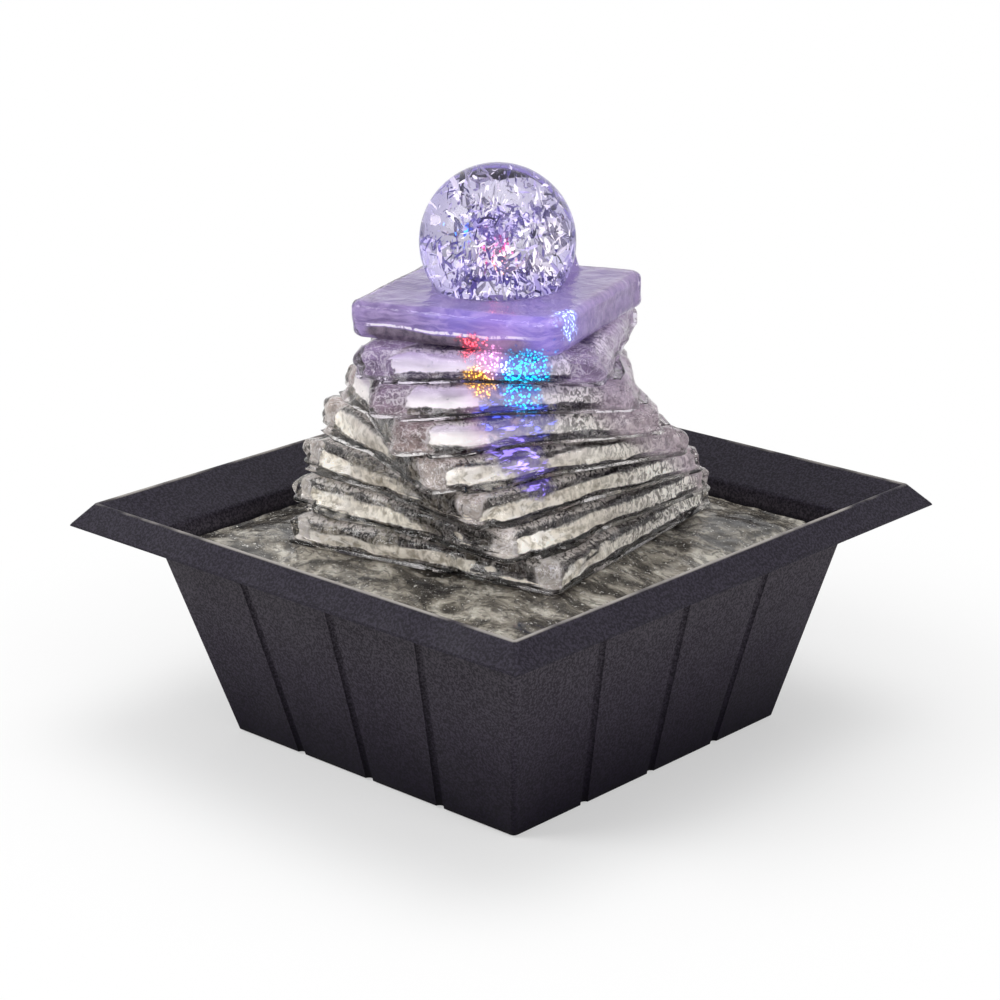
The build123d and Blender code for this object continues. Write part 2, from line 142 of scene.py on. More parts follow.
def ramp(value, *stops):
    """Colours blended along a value, as pairs of place and colour."""
    node = wire("ShaderNodeValToRGB", {0: value})
    band = node.color_ramp.elements
    while len(band) < len(stops):
        band.new(1.0)
    for element, (place, colour) in zip(band, stops):
        element.position = place
        element.color = colour
    return node.outputs[0]


def paint(red, green, blue):
    """Linear colour from the eight-bit screen values that a colour picker shows."""
    channels = (c / 255 for c in (red, green, blue))
    return (*(((c + 0.055) / 1.055) ** 2.4 if c > 0.04 else c / 12.92 for c in channels), 1.0)


BLACK = paint(0, 0, 0)
WHITE = paint(255, 255, 255)


class Finish:
    """A material under construction: its tree, its shader, and the place on the piece that patterns read."""

    def __init__(self, name, **sockets):
        self.material = bpy.data.materials.new(name)
        self.material.use_nodes = True
        self.tree = self.material.node_tree
        self.shader = self.tree.nodes["Principled BSDF"]
        self.place = add(self.tree, "ShaderNodeTexCoord").outputs["Object"]
        self.set(**sockets)

    def set(self, **sockets):
        for key, value in sockets.items():
            feed(self.shader.inputs[key.replace("_", " ")], value)

    def bump(self, height, depth, strength=1.0):
        node = wire("ShaderNodeBump", {"Strength": strength, "Distance": depth, "Height": height})
        feed(self.shader.inputs["Normal"], node.outputs[0])

    def count(self):
        print(self.material.name, "nodes:", len(self.tree.nodes))


# %% [markdown]
# ## Camera
# The camera stands where the photograph was taken from: in front of one corner of the basin, a little above
# the rim, with a long lens that keeps the sides nearly parallel. Its turn, height and lens come from fitting
# the basin's corners to the picture.

# %% Camera
TURN = radians(43.79)
RISE = radians(18.36)
ROLL = radians(-1.0)
AIM = Vector((0, 0, 79.1 * MM))
DISTANCE = 894.1 * MM
SENSOR = 36.0
FOCAL = 98.32
SHIFT = -0.0022
back = Vector((sin(TURN) * cos(RISE), -cos(TURN) * cos(RISE), sin(RISE)))
right = Vector((cos(TURN), sin(TURN), 0))
up = back.cross(right)
lens_right = right * cos(ROLL) + up * sin(ROLL)
lens_up = up * cos(ROLL) - right * sin(ROLL)
lens = bpy.data.cameras.new("Camera")
lens.sensor_width = SENSOR
lens.lens = FOCAL
lens.shift_x = SHIFT
camera = bpy.data.objects.new("Camera", lens)
facing = Matrix((lens_right, lens_up, back)).transposed().to_4x4()
camera.matrix_world = Matrix.Translation(AIM + back * DISTANCE) @ facing
scene.collection.objects.link(camera)
scene.camera = camera
print("camera at, mm:", [round(v / MM) for v in camera.matrix_world.translation])

# %% [markdown]
# ## Studio
# Such pictures are taken on a white sweep under big soft lamps. The world is plain white where the camera,
# a reflection or a view through glass looks at it, and dimmer as a lamp. The floor is a pale disc that keeps
# the shadow near the basin and fades into the white further out.

# %% World, floor and lamps
WORLD_LAMP = 0.42
FLOOR_R = 1.5
FLOOR_POINTS = 96
SHADOW_R = 90 * MM
WHITE_R = 260 * MM
world = bpy.data.worlds.new("Studio white")
scene.world = world
world.use_nodes = True
sky = world.node_tree
seen = add(sky, "ShaderNodeLightPath").outputs
shows = most(seen["Is Camera Ray"], seen["Is Glossy Ray"], seen["Is Transmission Ray"])
feed(sky.nodes["Background"].inputs["Strength"], span(shows, 0.0, 1.0, WORLD_LAMP, 1.0))
sky.nodes["Background"].inputs["Color"].default_value = WHITE

ring = np.linspace(0, 2 * pi, FLOOR_POINTS, endpoint=False)
floor_mesh = bpy.data.meshes.new("Floor")
floor_mesh.from_pydata([(FLOOR_R * cos(a), FLOOR_R * sin(a), 0) for a in ring], [], [range(FLOOR_POINTS)])
floor = bpy.data.objects.new("Floor", floor_mesh)
scene.collection.objects.link(floor)
floor_finish = Finish("Pale floor", Base_Color=(0.86, 0.86, 0.86, 1), Roughness=0.9, Specular_IOR_Level=0.0)
sweep = floor_finish.tree
away = measure("LENGTH", floor_finish.place)
in_view = add(sweep, "ShaderNodeLightPath").outputs["Is Camera Ray"]
far = times(span(away, SHADOW_R, WHITE_R, 0.45, 1.0), in_view)
white = add(sweep, "ShaderNodeEmission", {"Color": WHITE, "Strength": 1.0})
fade = wire("ShaderNodeMixShader", {0: far, 1: floor_finish.shader.outputs[0], 2: white.outputs[0]})
feed(sweep.nodes["Material Output"].inputs["Surface"], fade.outputs[0])
floor_mesh.materials.append(floor_finish.material)


def softbox(name, place, size, watts):
    """Square lamp that looks at the stack."""
    lamp = bpy.data.lights.new(name, "AREA")
    lamp.size = size
    lamp.energy = watts
    obj = bpy.data.objects.new(name, lamp)
    obj.location = place
    obj.rotation_euler = (AIM - Vector(place)).to_track_quat("-Z", "Y").to_euler()
    scene.collection.objects.link(obj)


softbox("Key lamp", (-0.55, -1.0, 0.9), 0.7, 9.0)
softbox("Top lamp", (0.15, 0.1, 1.3), 0.8, 7.0)
softbox("Side lamp", (1.1, -0.15, 0.55), 0.5, 4.0)

# %% [markdown]
# ## Basin
# The basin is moulded in charcoal plastic with a fine spark-eroded grain, so it looks like dark sandpaper
# with the gloss taken off. Its solid already has the taper, the grooves and the rounded crest. The grain is
# far too fine to model, so it is a speckle in the colour and a shallow bump, on Object coordinates.

# %% Basin finish
RIM_Z = 81 * MM
basin = Finish("Charcoal plastic", Roughness=0.52, Specular_IOR_Level=0.12)
grain = noise(basin.place, 0.8 * MM, 2.0, 0.7)
cloud = noise(basin.place, 24 * MM, 3.0)
height = axis(basin.place, "Z")
# Darker and bluer towards the bottom, which is painted shade, and darker again on the lip.
painted_wall_shade = ramp(calc("DIVIDE", height, RIM_Z), (0.0, paint(14, 6, 26)), (0.4, paint(54, 48, 60)),
            (0.84, paint(76, 71, 78)), (0.9, paint(50, 46, 57)))
speck = mix(span(grain, 0.4, 0.62), paint(150, 146, 154), WHITE)
shade = mix(1.0, painted_wall_shade, speck, "MULTIPLY")
# Painted shade: an occlusion test darkens the grooves and other hollows.
painted_groove_shade = add(basin.tree, "ShaderNodeAmbientOcclusion", {"Distance": 5 * MM}, samples=8).outputs["AO"]
shade = mix(span(painted_groove_shade, 0.35, 0.85), paint(12, 9, 16), shade)
# Painted highlight: a pale, clouded line along the crest of the rim.
painted_crest_highlight = times(span(height, 80.9 * MM, 81.35 * MM), span(cloud, 0.35, 0.6), 0.6)
shade = mix(painted_crest_highlight, shade, paint(196, 190, 184))
basin.set(Base_Color=shade, Roughness=span(cloud, 0.3, 0.7, 0.46, 0.6))
basin.bump(grain, 0.05 * MM, 0.6)


def dress(node, material):
    """Give a solid its finish."""
    mesh = solids[node].data
    mesh.materials.clear()
    mesh.materials.append(material)


dress("basin", basin.material)
basin.count()

# %% [markdown]
# ## Light from inside
# The LEDs under the cap show as coloured sparkle, because each hollow of the rippled skin throws a small
# picture of a lamp. A lamp behind real refraction would need far too many samples to come out clean. So the
# finish paints the lamps' light on: a deep tint of painted coloured light round each place where a lamp
# shows, and random grains there that glow. Each spot below is its place in mm, its radius in mm, and its deep
# and bright colours.

# %% LED grains
RED = paint(150, 24, 52), paint(255, 84, 100)
AMBER = paint(150, 62, 30), paint(255, 198, 62)
PINK = paint(222, 160, 218), paint(255, 178, 226)
CYAN = paint(24, 34, 190), paint(0, 205, 244)
BLUE = paint(24, 18, 92), paint(84, 104, 255)
VIOLET = paint(52, 42, 92), paint(150, 130, 250)
FROST = paint(140, 138, 232), paint(176, 216, 255)
# The pink glow of the lamps, painted on the resin round these places.
PINK_LAMP_GLOW = paint(226, 172, 226)
GRAIN_LIGHT = 3.0
PINK_GLOW_AT = [(26.0, -30.0, 141.0), (26.5, -31.5, 125.0), (30.0, -33.0, 117.0)]
STREAK_SPOTS = [
    ((28.0, -30.0, 121.0), 9.0, BLUE),
    ((37.0, -23.0, 118.5), 9.0, BLUE),
    ((33.0, -28.5, 110.5), 11.0, VIOLET),
    ((38.3, -25.3, 102.0), 9.0, VIOLET),
]
LAMP_SPOTS = [
    ((17.8, -32.2, 140.5), 5.5, RED),
    ((22.0, -31.5, 139.5), 4.5, RED),
    ((21.5, -32.4, 131.0), 6.5, AMBER),
    ((25.1, -30.0, 136.5), 6.5, PINK),
    ((31.0, -26.5, 134.0), 8.0, CYAN),
    ((35.5, -23.0, 135.0), 8.0, CYAN),
    ((33.1, -24.7, 126.0), 8.0, CYAN),
    ((42.4, -12.0, 149.0), 7.0, FROST),
    ((45.0, -22.0, 141.5), 3.5, CYAN),
]


def lamp_grains(f, colour, light, spots=LAMP_SPOTS, streaks=STREAK_SPOTS, size=0.8 * MM):
    """Light the grains round each spot, and return the colour with the lamps' coloured light painted in."""

    def gap_to(spot):
        return measure("DISTANCE", f.place, [v * MM for v in spot])

    bead = span(cells(f.place, size), 0.36, 0.5, 1.0, 0.0)
    luck = axis(cells(f.place, size, "Color"), "X")
    grain = times(bead, span(luck, 0.1, 0.5))
    fray = centred(noise(f.place, 2.4 * MM, 2.0), 9 * MM)
    # Painted pink lamp light round the nearest lamps.
    for spot in PINK_GLOW_AT:
        colour = mix(span(gap_to(spot), 2 * MM, 13 * MM, 0.55, 0.0), colour, PINK_LAMP_GLOW)
    streak = span(noise(f.place, 1.9 * MM, 3.0, 0.6, 0.6, (0.35, 0.35, 1.6)), 0.55, 0.62)
    # Each spot's deep colour is painted lamp light, and its grains glow in the bright one.
    for group, glint, cover in ((streaks, times(streak, 0.5), 0.88), (spots, grain, 0.95)):
        for spot, radius, (deep, bright) in group:
            near = span(plus(gap_to(spot), fray), 0.45 * radius * MM, radius * MM, 1.0, 0.0)
            colour = mix(times(near, cover), colour, deep)
            light = mix(times(near, plus(glint, 0.04)), light, bright, "ADD")
    f.set(Emission_Color=light, Emission_Strength=GRAIN_LIGHT)
    return colour


print("places where a lamp shows:", len(LAMP_SPOTS) + len(STREAK_SPOTS))

# %% [markdown]
# ## Slab resin
# The slabs are cast in clear resin. One looks through a clear skin at the heart of the slab, where light that
# entered through the riser comes back as a pale bar. The foot of the riser and the joint stay dark, because
# there one looks into the shaded core, and the last few millimetres before a corner are plain and pale.
# Towards one side the mould was hammered, which tears the bars into silver marks, and further round they go
# under a dull lilac veil. So a slab is made as two closed shells: a smooth glassy skin, and inside it a heart
# that is painted with what the light does there. Paint on the outside would look like stone, and glass alone
# would show only the dark core. Each ring mesh below carries a skin attribute with three numbers a point,
# which the finish reads: the distance from the nearest corner in mm, the height in the slab from 0 to 1
# (beyond 1 on the tread), and the place along the side.

# %% Patterns in a slab's heart
RIGHT_SIDE = (cos(TURN), sin(TURN), 0)
HEART_LIGHT = 0.08
STACK_LOW = 71 * MM
STACK_TOP = 140 * MM
VEIL_TOP = 118 * MM


def skin_parts(f):
    """Distance from the corner, rise, place along the side, height, and place towards the hammered side."""
    skin = add(f.tree, "ShaderNodeAttribute", attribute_name="skin").outputs["Vector"]
    corner, rise, along = wire("ShaderNodeSeparateXYZ", {0: skin}).outputs
    aside = measure("DOT_PRODUCT", f.place, RIGHT_SIDE)
    return corner, rise, along, axis(f.place, "Z"), aside


def hairline(value, width):
    """Thin lines where a noise passes its middle."""
    return span(calc("ABSOLUTE", centred(value)), 0.004, width, 1.0, 0.0)


heart_finish = Finish("Clear resin", Roughness=0.03, IOR=1.45)
place = heart_finish.place
corner, rise, along, z, aside = skin_parts(heart_finish)
outward = add(heart_finish.tree, "ShaderNodeTexCoord").outputs["Normal"]
left = span(measure("DOT_PRODUCT", outward, RIGHT_SIDE), -0.5, -0.35, 1.0, 0.0)
sway = noise(place, 22 * MM, 1.0)
fine = noise(place, 2.6 * MM, 4.0, 0.6, 0.4)
marks = noise(place, 1.8 * MM, 3.0, 0.65, 1.2, (1.3, 1.3, 0.9))
flow = noise(place, 9 * MM, 5.0, 0.62, 0.8, (1, 1, 2))
crease = hairline(noise(place, 4.5 * MM, 3.0, 0.55, 0.6), 0.03)
hair = hairline(noise(place, 2.2 * MM, 2.0, 0.5, 0.8, (1, 1, 1.6)), 0.022)
lines = most(crease, hair)
upper = span(z, 100 * MM, 117 * MM)


def by_height(low, high):
    """A value that goes over from the lower slabs' own to the upper slabs' own."""
    return span(upper, 0.0, 1.0, low, high)


hammered = span(aside, by_height(16 * MM, 6 * MM), by_height(56 * MM, 26 * MM))
wander = plus(centred(sway, 0.35), centred(fine, 0.16))
lift = plus(rise, wander)
heart_finish.count()

# %% Bars: where they lie, and how they run out and tear
bar = span(minus(lift, by_height(0.08, 0.26)), -0.09, 0.09)
bar = times(bar, span(minus(lift, by_height(0.66, 1.06)), -0.3, 0.12, 1.0, 0.0))
panel_width = plus(by_height(4.0, 9.0), times(left, 4.0))
past_panel = minus(plus(corner, times(wander, 18.0)), panel_width)
inside = span(past_panel, -1.2, 1.6)
drift = plus(along, times(wander, 1.6))
runs_out = times(left, span(drift, -0.1, 0.5, 0.0, 0.8))
bar = times(bar, inside, minus(1.0, runs_out))
torn = times(centred(marks), span(hammered, 0.0, 1.0, 0.6, 1.2))
bar = span(plus(bar, torn), 0.25, 0.75)
heart_finish.count()

# %% Bars: cream on the lower slabs, pale on the upper ones, silver where hammered
pale = mix(span(lift, 0.34, 0.95), paint(252, 250, 248), paint(178, 167, 185))
cream = mix(span(fine, 0.36, 0.6), paint(168, 161, 146), paint(238, 233, 221))
glare = times(span(drift, -0.7, -0.2, 0.9, 0.0), span(flow, 0.46, 0.56))
cream = mix(glare, cream, paint(250, 248, 242))
silver = mix(span(marks, 0.42, 0.56), paint(128, 125, 120), paint(252, 250, 244))
lit = mix(hammered, mix(upper, cream, pale), silver)
heart_finish.count()

# %% Joints: painted shade, with olive streaks, a painted highlight on the brim, specks and painted glint lines
dusk = mix(span(fine, 0.4, 0.68), paint(22, 19, 23), paint(72, 66, 67))
dusk = mix(span(aside, -4 * MM, 20 * MM, 0.0, 0.5), dusk, paint(28, 22, 46))
olive = mix(span(fine, 0.35, 0.65), paint(84, 78, 64), paint(190, 183, 164))
# Olive streaks in the dark, more of them away from the hammered side.
olive_streaks = times(span(flow, 0.46, 0.6), span(aside, -56 * MM, 4 * MM, 0.9, 0.15))
dusk = mix(olive_streaks, dusk, olive)
# Painted highlight: a pale line along the upper brim of the riser.
brim_highlight = times(span(lift, 0.84, 0.93), span(lift, 0.98, 1.08, 1.0, 0.0))
dusk = mix(times(brim_highlight, most(span(marks, 0.44, 0.54), hair)), dusk, paint(232, 227, 222))
luck = axis(cells(place, 1.2 * MM, "Color"), "X")
speck = times(span(cells(place, 1.2 * MM), 0.16, 0.22, 1.0, 0.0), span(luck, 0.7, 0.75))
# Painted glints: thin bright lines over the dark, brighter away from the hammered side.
glint_lines = times(lines, span(aside, -30 * MM, 10 * MM, 0.5, 0.3))
dusk = mix(most(speck, glint_lines), dusk, paint(230, 226, 222))
heart_finish.count()

# %% Corners: plain panels, with a painted highlight where the bar begins
panel = ramp(span(z, STACK_LOW, STACK_TOP), (0.1, paint(238, 232, 224)), (0.5, paint(208, 197, 191)),
             (0.7, paint(172, 151, 148)), (0.95, paint(162, 144, 168)))
shaded = mix(1.0, panel, paint(186, 182, 182), "MULTIPLY")
panel = mix(span(flow, 0.38, 0.62), shaded, panel)
# Painted highlight: a bright crinkled line where the plain panel meets the bar.
bar_edge_highlight = times(span(past_panel, -1.6, -0.6), span(past_panel, -0.4, 0.4, 1.0, 0.0))
bar_edge_highlight = most(times(bar_edge_highlight, span(marks, 0.4, 0.6)), times(lines, 0.85))
panel = mix(bar_edge_highlight, panel, paint(244, 240, 242))
colour = mix(bar, mix(inside, panel, dusk), lit)
heart_finish.count()

# %% Veil: further round on the lower slabs, with a little lilac light near the top
below = most(minus(VEIL_TOP, z), 0.0)
veil_from = plus(times(below, 0.95), 29 * MM)
veil = plus(minus(aside, veil_from), times(wander, 30 * MM))
veil = span(veil, -3 * MM, 6 * MM, 0.0, 0.92)
dull = mix(span(marks, 0.36, 0.62), paint(138, 126, 137), paint(186, 174, 182))
colour = mix(veil, colour, dull)
colour = mix(span(z, 120 * MM, 142 * MM, 0.0, 0.18), colour, paint(156, 132, 210))
heart_finish.count()

# %% Heart: what glows by itself, what stays clear, and the dints of the hammer
pale_part = most(bar, veil, span(inside, 0.0, 1.0, 1.0, 0.0))
colour = lamp_grains(heart_finish, colour, mix(times(pale_part, HEART_LIGHT), BLACK, colour))
broad = noise(place, 26 * MM, 1.0)
cloudy = most(times(bar, span(broad, 0.35, 0.6, 0.45, 0.9)), times(veil, 0.35))
clear = span(inside, 0.0, 1.0, 0.55, 0.25)
heart_finish.set(Base_Color=colour, Transmission_Weight=span(cloudy, 0.0, 1.0, clear, 0.0))
dints = times(marks, hammered, span(veil, 0.0, 0.8, 1.0, 0.2))
heart_finish.bump(plus(dints, times(flow, 0.8)), 0.7 * MM, 0.7)
slab_resin = heart_finish.material
heart_finish.count()

# %% Skin: clear, with shallow dimples
skin_finish = Finish("Clear resin skin", Roughness=0.02, IOR=1.33, Transmission_Weight=1.0)
haze = noise(skin_finish.place, 26 * MM, 2.0)
tint = mix(span(haze, 0.35, 0.65), paint(236, 231, 230), paint(252, 250, 249))
lilac_up = span(axis(skin_finish.place, "Z"), 108 * MM, STACK_TOP)
skin_finish.set(Base_Color=mix(lilac_up, tint, paint(238, 229, 248)))
dimples = noise(skin_finish.place, 5 * MM, 3.0, 0.55, 0.5)
skin_finish.bump(plus(dimples, times(haze, 2.0)), 0.8 * MM, 0.6)
clear_skin = skin_finish.material
skin_finish.count()

# %% [markdown]
# ## Cap resin
# The cap is the same resin, but smooth, and it sits right over the lamps, so that it glows lilac all through,
# bluer near the middle where the lamps are. It has a clear skin and a heart too. A bright line runs along the
# face where the light is thrown back, and below it one sees the dark joint.

# %% Cap finish
cap_heart = Finish("Lilac resin", Roughness=0.03, IOR=1.4)
corner, rise, _, _, aside = skin_parts(cap_heart)
sway = noise(cap_heart.place, 20 * MM, 1.0)
fine = noise(cap_heart.place, 3 * MM, 3.0, 0.6, 0.4)
streak = noise(cap_heart.place, 9 * MM, 4.0, 0.6, 0.8, (1, 1, 4))
lift = plus(rise, plus(centred(sway, 0.3), centred(fine, 0.06)))
inside = span(plus(corner, centred(fine, 5.0)), 4.5, 6.5)
streaked = span(streak, 0.36, 0.64)
mottled = span(fine, 0.3, 0.7)
lilac = mix(streaked, paint(124, 108, 152), paint(172, 156, 196))
violet = mix(streaked, paint(140, 124, 208), paint(182, 164, 228))
lilac = mix(span(aside, -34 * MM, -8 * MM), lilac, violet)
mauve = mix(mottled, paint(138, 124, 156), paint(168, 152, 184))
colour = mix(span(aside, 12 * MM, 32 * MM), lilac, mauve)
colour = mix(span(rise, 1.0, 1.15, 0.0, 0.6), colour, paint(138, 124, 170))
left_face = times(inside, span(aside, 4 * MM, 12 * MM, 1.0, 0.0))
shadow = times(span(lift, 0.3, 0.36, 1.0, 0.0), left_face)
colour = mix(shadow, colour, mix(mottled, paint(84, 76, 88), paint(132, 120, 130)))
line = times(span(lift, 0.35, 0.38), span(lift, 0.43, 0.47, 1.0, 0.0), left_face)
line = times(line, span(fine, 0.36, 0.46))
colour = mix(line, colour, paint(255, 253, 255))
colour = lamp_grains(cap_heart, colour, mix(HEART_LIGHT, BLACK, colour))
cap_heart.set(Base_Color=colour, Transmission_Weight=span(most(line, shadow), 0.0, 1.0, 0.3, 0.05))
cap_heart.bump(plus(streak, times(fine, 0.3)), 0.5 * MM, 0.6)
cap_resin = cap_heart.material
cap_heart.count()

# %% [markdown]
# ## Plate resin
# The plate lies under a film of water and over the dark well, so it reads as a deep olive grey with brushed
# streaks and small white flecks of painted sparkle. Two noises, one coarse and warped and one fine, give the
# streaks.

# %% Plate finish
pool = Finish("Rippled plate resin", Roughness=0.04, IOR=1.4)
eddy = noise(pool.place, 11 * MM, 4.0, 0.6, 1.0, (0.5, 1, 0.5))
brushed = noise(pool.place, 3.0 * MM, 3.0, 0.6, 1.2, (0.7, 1, 1))
# Mottled olive grey, from dark to cream along a warped noise.
plate_mottling = ramp(eddy, (0.34, paint(48, 45, 45)), (0.46, paint(106, 101, 93)), (0.55, paint(172, 165, 152)),
            (0.66, paint(236, 230, 216)))
colour = mix(span(brushed, 0.42, 0.64, 0.0, 0.7), plate_mottling, paint(54, 51, 51))
# Painted sparkle: small white flecks.
sparkle_flecks = noise(pool.place, 1.0 * MM, 2.0, 0.6, 0.6)
colour = mix(span(sparkle_flecks, 0.63, 0.7), colour, paint(246, 243, 236))
pool.set(Base_Color=colour, Transmission_Weight=0.35)
pool.bump(plus(eddy, times(brushed, 0.25)), 1.2 * MM, 0.6)
plate_resin = pool.material
pool.count()

# %% [markdown]
# ## Ring meshes
# Slabs, cap and plate are all squares with rounded corners and a hole in the middle. Cutting one from a cube
# leaves long triangles that can't melt smoothly. Here each is a set of closed rings, from the hole out over
# the top, down the riser and back underneath, with the same number of points in every ring, so that the
# faces are even quads.

# %% Ring meshes
PER_SIDE = 80
PER_CORNER = 16
TREAD_ROWS = 22
EDGE_ROWS = 9
RISER_ROWS = 9
FOOT_ROWS = 6
UNDER_ROWS = 8


def rounded_square(half, corner):
    """One ring of points, counter-clockwise from the foot of the +X side, as complex numbers in mm."""
    reach = half - corner
    run = np.linspace(-reach, reach, PER_SIDE, endpoint=False)
    turn = np.linspace(0, pi / 2, PER_CORNER, endpoint=False)
    quarter = np.concatenate([half + 1j * run, reach + 1j * reach + corner * np.exp(1j * turn)])
    return np.concatenate([quarter * 1j ** k for k in range(4)])


def ring_piece(name, half, corner, rows, turn, lift):
    """Closed ring mesh from rows of (inset, height, roundness, rise, softness), in mm."""
    points, skin, soft = [], [], []
    along = np.tile(np.concatenate([np.linspace(-1, 1, PER_SIDE, endpoint=False), np.ones(PER_CORNER)]), 4)
    for inset, height, roundness, rise, softness in rows:
        side = half - inset
        ring = rounded_square(side, max(corner - inset, 0.25 * side * min(1, inset / corner)))
        off_corner = side - np.minimum(np.abs(ring.real), np.abs(ring.imag))
        circle = side * np.exp(1j * np.angle(ring))
        ring = (ring * (1 - roundness) + circle * roundness) * np.exp(1j * radians(turn))
        points.append(np.stack([ring.real, ring.imag, np.full(len(ring), lift + height)], 1))
        skin.append(np.stack([off_corner, np.full(len(ring), rise), along], 1))
        soft.append(np.full(len(ring), softness))
    across = len(along)
    grid = np.arange(len(rows) * across).reshape(len(rows), across)
    below = np.roll(grid, -1, 0)
    quads = np.stack([grid, below, np.roll(below, -1, 1), np.roll(grid, -1, 1)], -1).reshape(-1, 4)
    mesh = bpy.data.meshes.new(name)
    mesh.from_pydata((np.concatenate(points) * MM).tolist(), [], quads.tolist())
    numbers = np.concatenate(skin).ravel()
    mesh.attributes.new("skin", "FLOAT_VECTOR", "POINT").data.foreach_set("vector", numbers)
    mesh.attributes.new("soft", "FLOAT", "POINT").data.foreach_set("value", np.concatenate(soft))
    obj = bpy.data.objects.new(name, mesh)
    scene.collection.objects.link(obj)
    return obj


print("points in a ring:", len(rounded_square(50.0, 5.0)))


# %% Rows of a slab
def ease(value, low, high):
    share = min(1.0, max(0.0, (value - low) / (high - low)))
    return share * share * (3 - 2 * share)


def slab_rows(half, bore, thick, slope, top_r, low_r):
    """Rows of a slab: tread from the bore outwards, sloping upper edge, riser, lower edge, underside."""
    rows = []
    width = half - bore - slope
    for k in range(TREAD_ROWS, 0, -1):
        inset = slope + width * (k / TREAD_ROWS) ** 1.5
        softness = 0.4 * ease(half - inset, bore, bore + 6)
        rows.append((inset, thick, ease(inset, 0.3 * width, 0.9 * width), 1 + (inset - slope) / 10, softness))
    for k in range(EDGE_ROWS):
        up = 1 - k / EDGE_ROWS
        height = thick - top_r + top_r * sin(pi / 2 * up)
        rows.append((slope - slope * cos(pi / 2 * up), height, 0, height / thick, 1 - 0.6 * up ** 2))
    for k in range(RISER_ROWS):
        height = thick - top_r - (thick - top_r - low_r) * k / RISER_ROWS
        rows.append((0, height, 0, height / thick, 1))
    for k in range(FOOT_ROWS + 1):
        a = pi / 2 * k / FOOT_ROWS
        height = low_r - low_r * sin(a)
        rows.append((low_r - low_r * cos(a), height, 0, height / thick, 1 - k / FOOT_ROWS))
    for k in range(1, UNDER_ROWS + 1):
        inset = low_r + (half - bore - low_r) * k / UNDER_ROWS
        rows.append((inset, 0, ease(inset, 0.3 * width, 0.9 * width), -k / UNDER_ROWS, 0))
    return rows


print("rows of a slab:", TREAD_ROWS + EDGE_ROWS + RISER_ROWS + FOOT_ROWS + 1 + UNDER_ROWS)

# %% [markdown]
# ## Melting
# The real slabs ripple, dip and chip as old ice does. One Geometry Nodes tree melts them all: it pushes each
# point inwards along its normal by slow waves, small ripples and scooped chips near the corners. It only ever
# takes away, so a melted slab stays inside its own layer and can't bite into the next one.


# %% Tree helpers
def new_tree(name, **sockets):
    """Empty Geometry Nodes tree with named inputs and a geometry output."""
    tree = bpy.data.node_groups.new(name, "GeometryNodeTree")
    tree.interface.new_socket("Geometry", in_out="OUTPUT", socket_type="NodeSocketGeometry")
    tree.interface.new_socket("Geometry", in_out="INPUT", socket_type="NodeSocketGeometry")
    for label, kind in sockets.items():
        tree.interface.new_socket(label.replace("_", " "), in_out="INPUT", socket_type="NodeSocket" + kind)
    return tree, tree.nodes.new("NodeGroupInput").outputs, tree.nodes.new("NodeGroupOutput").inputs


def run_tree(obj, tree, **values):
    """Run a tree on an object with its inputs set, and keep the result as a plain mesh."""
    modifier = obj.modifiers.new(tree.name, "NODES")
    modifier.node_group = tree
    for item in tree.interface.items_tree:
        key = item.name.replace(" ", "_")
        if item.in_out == "INPUT" and key in values:
            modifier[item.identifier] = values[key]
    graph = bpy.context.evaluated_depsgraph_get()
    result = obj.evaluated_get(graph)
    mesh = bpy.data.meshes.new_from_object(result, preserve_all_data_layers=True, depsgraph=graph)
    obj.modifiers.clear()
    obj.data = mesh
    mesh.name = obj.name
    return obj


def close_tree(geometry, material, result):
    """The end of every tree: real geometry, smooth shading, one material."""
    real = wire("GeometryNodeRealizeInstances", {0: geometry}).outputs[0]
    smooth = wire("GeometryNodeSetShadeSmooth", {0: real}).outputs[0]
    done = wire("GeometryNodeSetMaterial", {"Geometry": smooth, "Material": material})
    feed(result[0], done.outputs[0])


def stored(tree, name, kind):
    """A value that a mesh carries at its points."""
    return add(tree, "GeometryNodeInputNamedAttribute", {"Name": name}, data_type=kind).outputs[0]


# %% Melt tree
melt, given, result = new_tree(
    "Melt", Wave_depth="Float", Wave_length="Float", Ripple_depth="Float", Ripple_length="Float",
    Chip_depth="Float", Chip_size="Float", Seed="Float", Material="Material")
place = add(melt, "GeometryNodeInputPosition").outputs[0]
normal = add(melt, "GeometryNodeInputNormal").outputs[0]
near_corner = span(axis(stored(melt, "skin", "FLOAT_VECTOR"), "X"), 3.0, 16.0, 1.0, 0.0)
flat_place = move("MULTIPLY", place, (1, 1, 1.8))


def melted(length, depth, detail):
    """Push of one noise: nothing at its crests, the whole depth in its hollows."""
    wave = wire("ShaderNodeTexNoise", {
        "Vector": flat_place, "W": given["Seed"], "Detail": detail,
        "Scale": calc("DIVIDE", 1.0, length),
    }, noise_dimensions="4D").outputs[0]
    return times(span(wave, 0.3, 0.7, 1.0, 0.0), depth)


chip_cell = wire("ShaderNodeTexVoronoi", {
    "Vector": place, "W": given["Seed"], "Scale": calc("DIVIDE", 1.0, given["Chip size"]),
    "Smoothness": 0.3,
}, voronoi_dimensions="4D", feature="SMOOTH_F1").outputs["Distance"]
chip = span(chip_cell, 0.15, 0.6, 1.0, 0.0)
chip = times(chip, times(near_corner, given["Chip depth"]))
waves = melted(given["Wave length"], given["Wave depth"], 1.0)
ripples = melted(given["Ripple length"], given["Ripple depth"], 2.0)
push = times(plus(waves, ripples, chip), times(stored(melt, "soft", "FLOAT"), -1.0))
offset = move("SCALE", normal, push)
moved = wire("GeometryNodeSetPosition", {"Geometry": given["Geometry"], "Offset": offset}).outputs[0]
close_tree(moved, given["Material"], result)
print("melt tree nodes:", len(melt.nodes))

